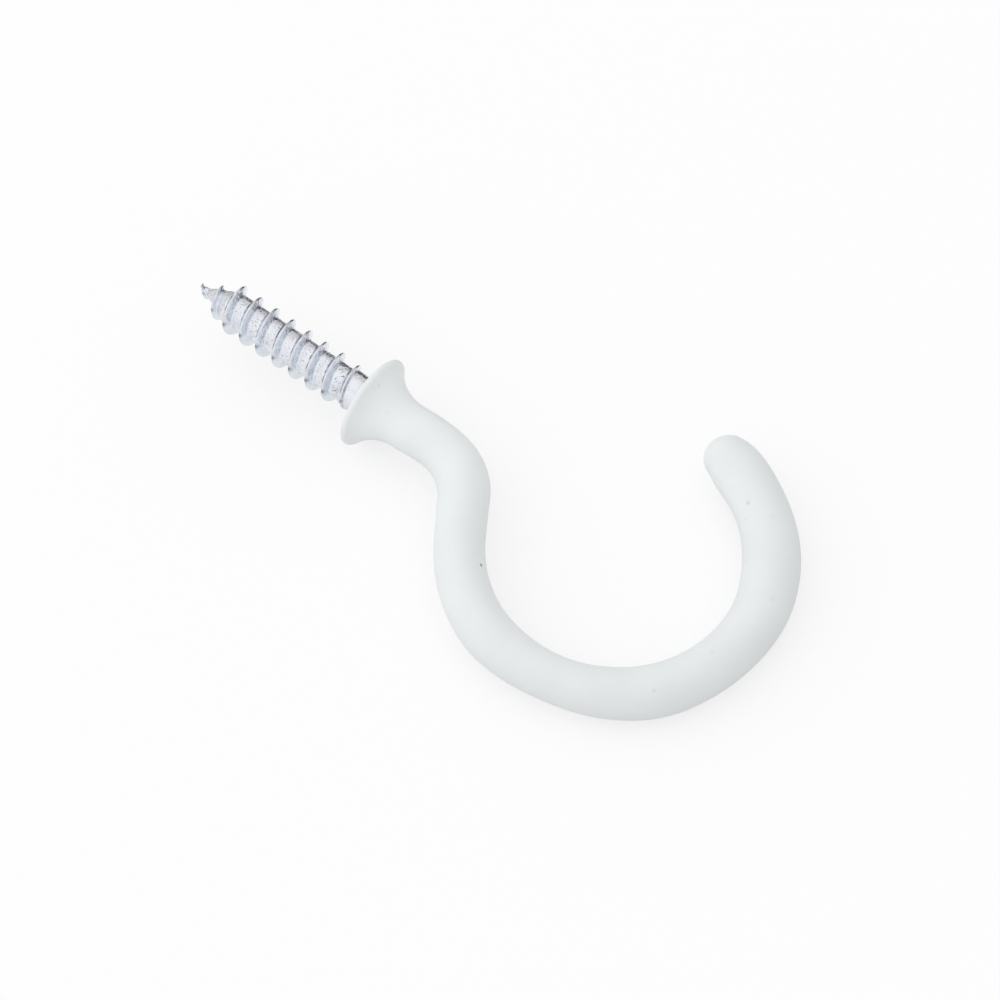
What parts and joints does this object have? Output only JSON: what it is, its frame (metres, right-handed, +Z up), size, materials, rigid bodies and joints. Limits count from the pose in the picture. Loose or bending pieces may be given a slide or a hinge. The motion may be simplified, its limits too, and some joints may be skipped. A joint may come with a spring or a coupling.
{
  "type": "screw hook",
  "caption": "Round wire cup hook with a tapered wood-screw thread, a shoulder collar and a plastic-dipped bowl, lying on its side.",
  "frame": {"origin": "centre of the collar's seat, where the coated collar meets the wall, on the screw's axis", "axes": "+Z up, square to the table that the hook lies on; +X from the seat towards the bowl, along the screw's axis apart from the 3.3 degree lean at which the hook rests; +Y towards the bowl's free end"},
  "size_m": [0.0733, 0.0376, 0.0105],
  "materials": {
    "zinc_steel": "bright zinc plate, slightly blue, as rolled",
    "white_plastic": "satin white dip coat"
  },
  "bodies": {
    "root": {"steel_hook": "zinc_steel", "plastic_coat": "white_plastic"}
  },
  "joints": []
}
